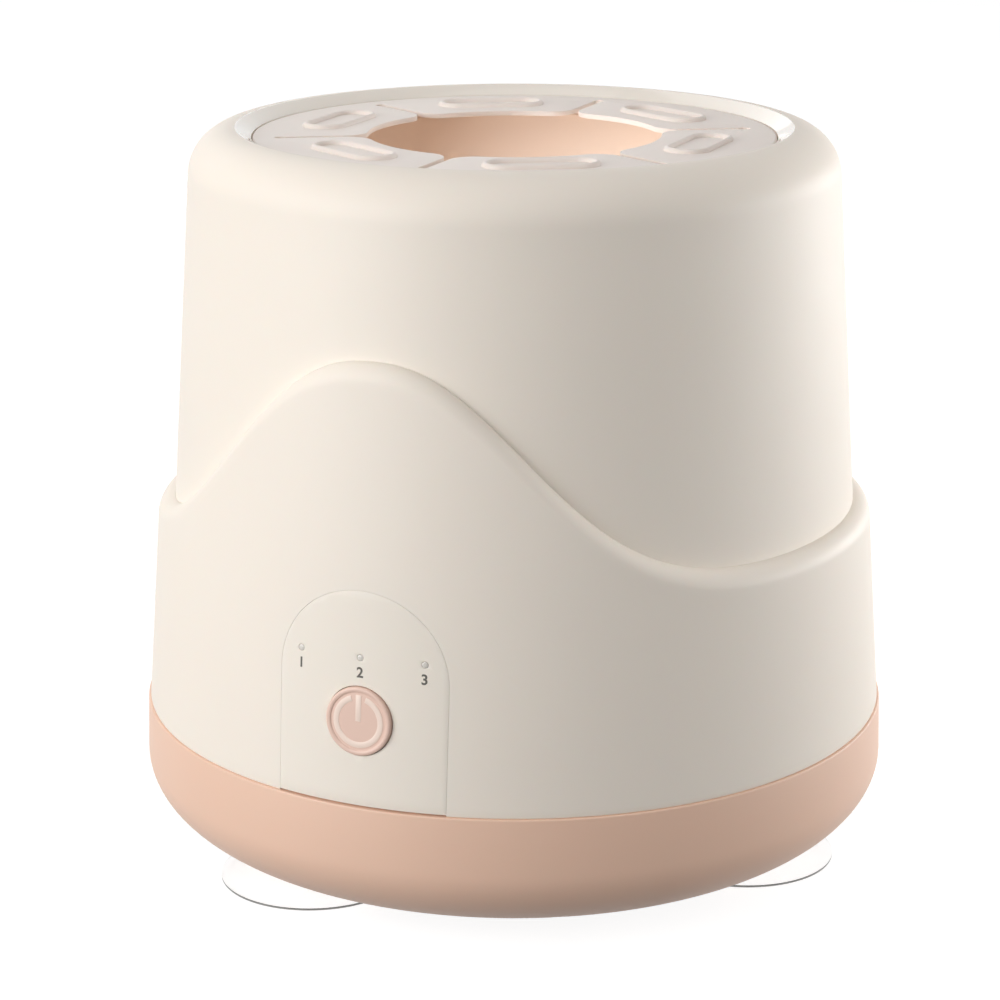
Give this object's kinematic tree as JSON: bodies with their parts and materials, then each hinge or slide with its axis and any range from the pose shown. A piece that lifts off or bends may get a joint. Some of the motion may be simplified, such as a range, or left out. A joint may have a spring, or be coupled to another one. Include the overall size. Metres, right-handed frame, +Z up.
{
  "type": "electric formula mixer",
  "caption": "Table-top baby bottle mixer: tapered drum with a petalled silicone mouth over a bottle well, a motor-swung seat, a front power button and suction feet.",
  "frame": {"origin": "on the table under the centre of the body, at the rims of the suction feet", "axes": "+Z up along the body's axis, -Y towards the control panel, +X to the right of it"},
  "size_m": [0.1507, 0.1506, 0.1452],
  "materials": {
    "cream_plastic": "satin",
    "pink_plastic": "satin",
    "blush_plastic": "satin",
    "grey_silicone": "matte",
    "clear_silicone": "clear",
    "steel": "satin",
    "brass": "satin",
    "white_nylon": "matte",
    "milky_lens": "translucent",
    "black_plastic": "matte",
    "circuit_board": "satin",
    "cell_sleeve": "satin"
  },
  "bodies": {
    "housing": {"base_tray": "pink_plastic", "suction_foot_1": "clear_silicone", "suction_foot_2": "clear_silicone", "suction_foot_3": "clear_silicone", "base_screws": "steel", "lower_housing": "cream_plastic", "control_panel": "cream_plastic", "indicator_lenses": "milky_lens", "upper_housing": "cream_plastic", "housing_screws": "steel", "grip_collar": "grey_silicone", "well_liner": "blush_plastic", "liner_screws": "steel", "guide_bushes": "white_nylon", "drive_plate": "white_nylon", "plate_screws": "steel", "spindle_bearings": "steel", "motor_can": "steel", "motor_end_cap": "black_plastic", "motor_terminals": "brass", "motor_screws": "steel", "battery_cell": "cell_sleeve", "battery_holder": "black_plastic", "battery_contacts": "steel", "main_board": "circuit_board", "board_parts": "black_plastic", "board_screws": "steel", "charge_socket": "steel", "button_board": "circuit_board", "button_board_screws": "steel", "push_switch": "black_plastic", "mode_lights": "milky_lens"},
    "crank": {"drive_spindle": "steel", "spindle_clip": "steel", "drive_gear": "white_nylon", "crank_disc": "steel", "counterweight": "brass"},
    "pinion": {"motor_shaft": "steel", "motor_pinion": "brass"},
    "seat": {"bottle_seat": "blush_plastic", "seat_pad": "grey_silicone", "seat_bearing": "steel", "guide_pins": "steel"},
    "button": {"power_button": "pink_plastic", "power_symbol": "milky_lens", "switch_plunger": "black_plastic"},
    "petal_1": {"petal_1": "grey_silicone"},
    "petal_2": {"petal_2": "grey_silicone"},
    "petal_3": {"petal_3": "grey_silicone"},
    "petal_4": {"petal_4": "grey_silicone"},
    "petal_5": {"petal_5": "grey_silicone"},
    "petal_6": {"petal_6": "grey_silicone"}
  },
  "joints": [
    {"name": "crank_spin", "type": "hinge", "parent": "housing", "child": "crank", "pos_m": [0, 0, 0.053], "axis": [0, 0, 1], "continuous": true},
    {"name": "pinion_spin", "type": "hinge", "parent": "housing", "child": "pinion", "pos_m": [0.016, -0.02771, 0.053], "axis": [0, 0, 1], "continuous": true},
    {"name": "seat_orbit", "type": "hinge", "parent": "crank", "child": "seat", "pos_m": [0.0025, 0, 0.069], "axis": [0, 0, 1], "continuous": true},
    {"name": "button_press", "type": "slide", "parent": "housing", "child": "button", "axis": [0, 0.9972, -0.0743], "range_m": [0, 0.001], "stiffness_N_per_m": 800},
    {"name": "petal_flex_1", "type": "hinge", "parent": "housing", "child": "petal_1", "pos_m": [0.02175, -0.03767, 0.1417], "axis": [-0.866, -0.5, 0], "range_deg": [0, 60], "stiffness_Nm_per_rad": 0.03},
    {"name": "petal_flex_2", "type": "hinge", "parent": "housing", "child": "petal_2", "pos_m": [0.0435, 0, 0.1417], "axis": [0, -1, 0], "range_deg": [0, 60], "stiffness_Nm_per_rad": 0.03},
    {"name": "petal_flex_3", "type": "hinge", "parent": "housing", "child": "petal_3", "pos_m": [0.02175, 0.03767, 0.1417], "axis": [0.866, -0.5, 0], "range_deg": [0, 60], "stiffness_Nm_per_rad": 0.03},
    {"name": "petal_flex_4", "type": "hinge", "parent": "housing", "child": "petal_4", "pos_m": [-0.02175, 0.03767, 0.1417], "axis": [0.866, 0.5, 0], "range_deg": [0, 60], "stiffness_Nm_per_rad": 0.03},
    {"name": "petal_flex_5", "type": "hinge", "parent": "housing", "child": "petal_5", "pos_m": [-0.0435, 0, 0.1417], "axis": [0, 1, 0], "range_deg": [0, 60], "stiffness_Nm_per_rad": 0.03},
    {"name": "petal_flex_6", "type": "hinge", "parent": "housing", "child": "petal_6", "pos_m": [-0.02175, -0.03767, 0.1417], "axis": [-0.866, 0.5, 0], "range_deg": [0, 60], "stiffness_Nm_per_rad": 0.03}
  ],
  "couplings": [
    {"joint": "pinion_spin", "follows": "crank_spin", "ratio": -3},
    {"joint": "seat_orbit", "follows": "crank_spin", "ratio": -1}
  ]
}
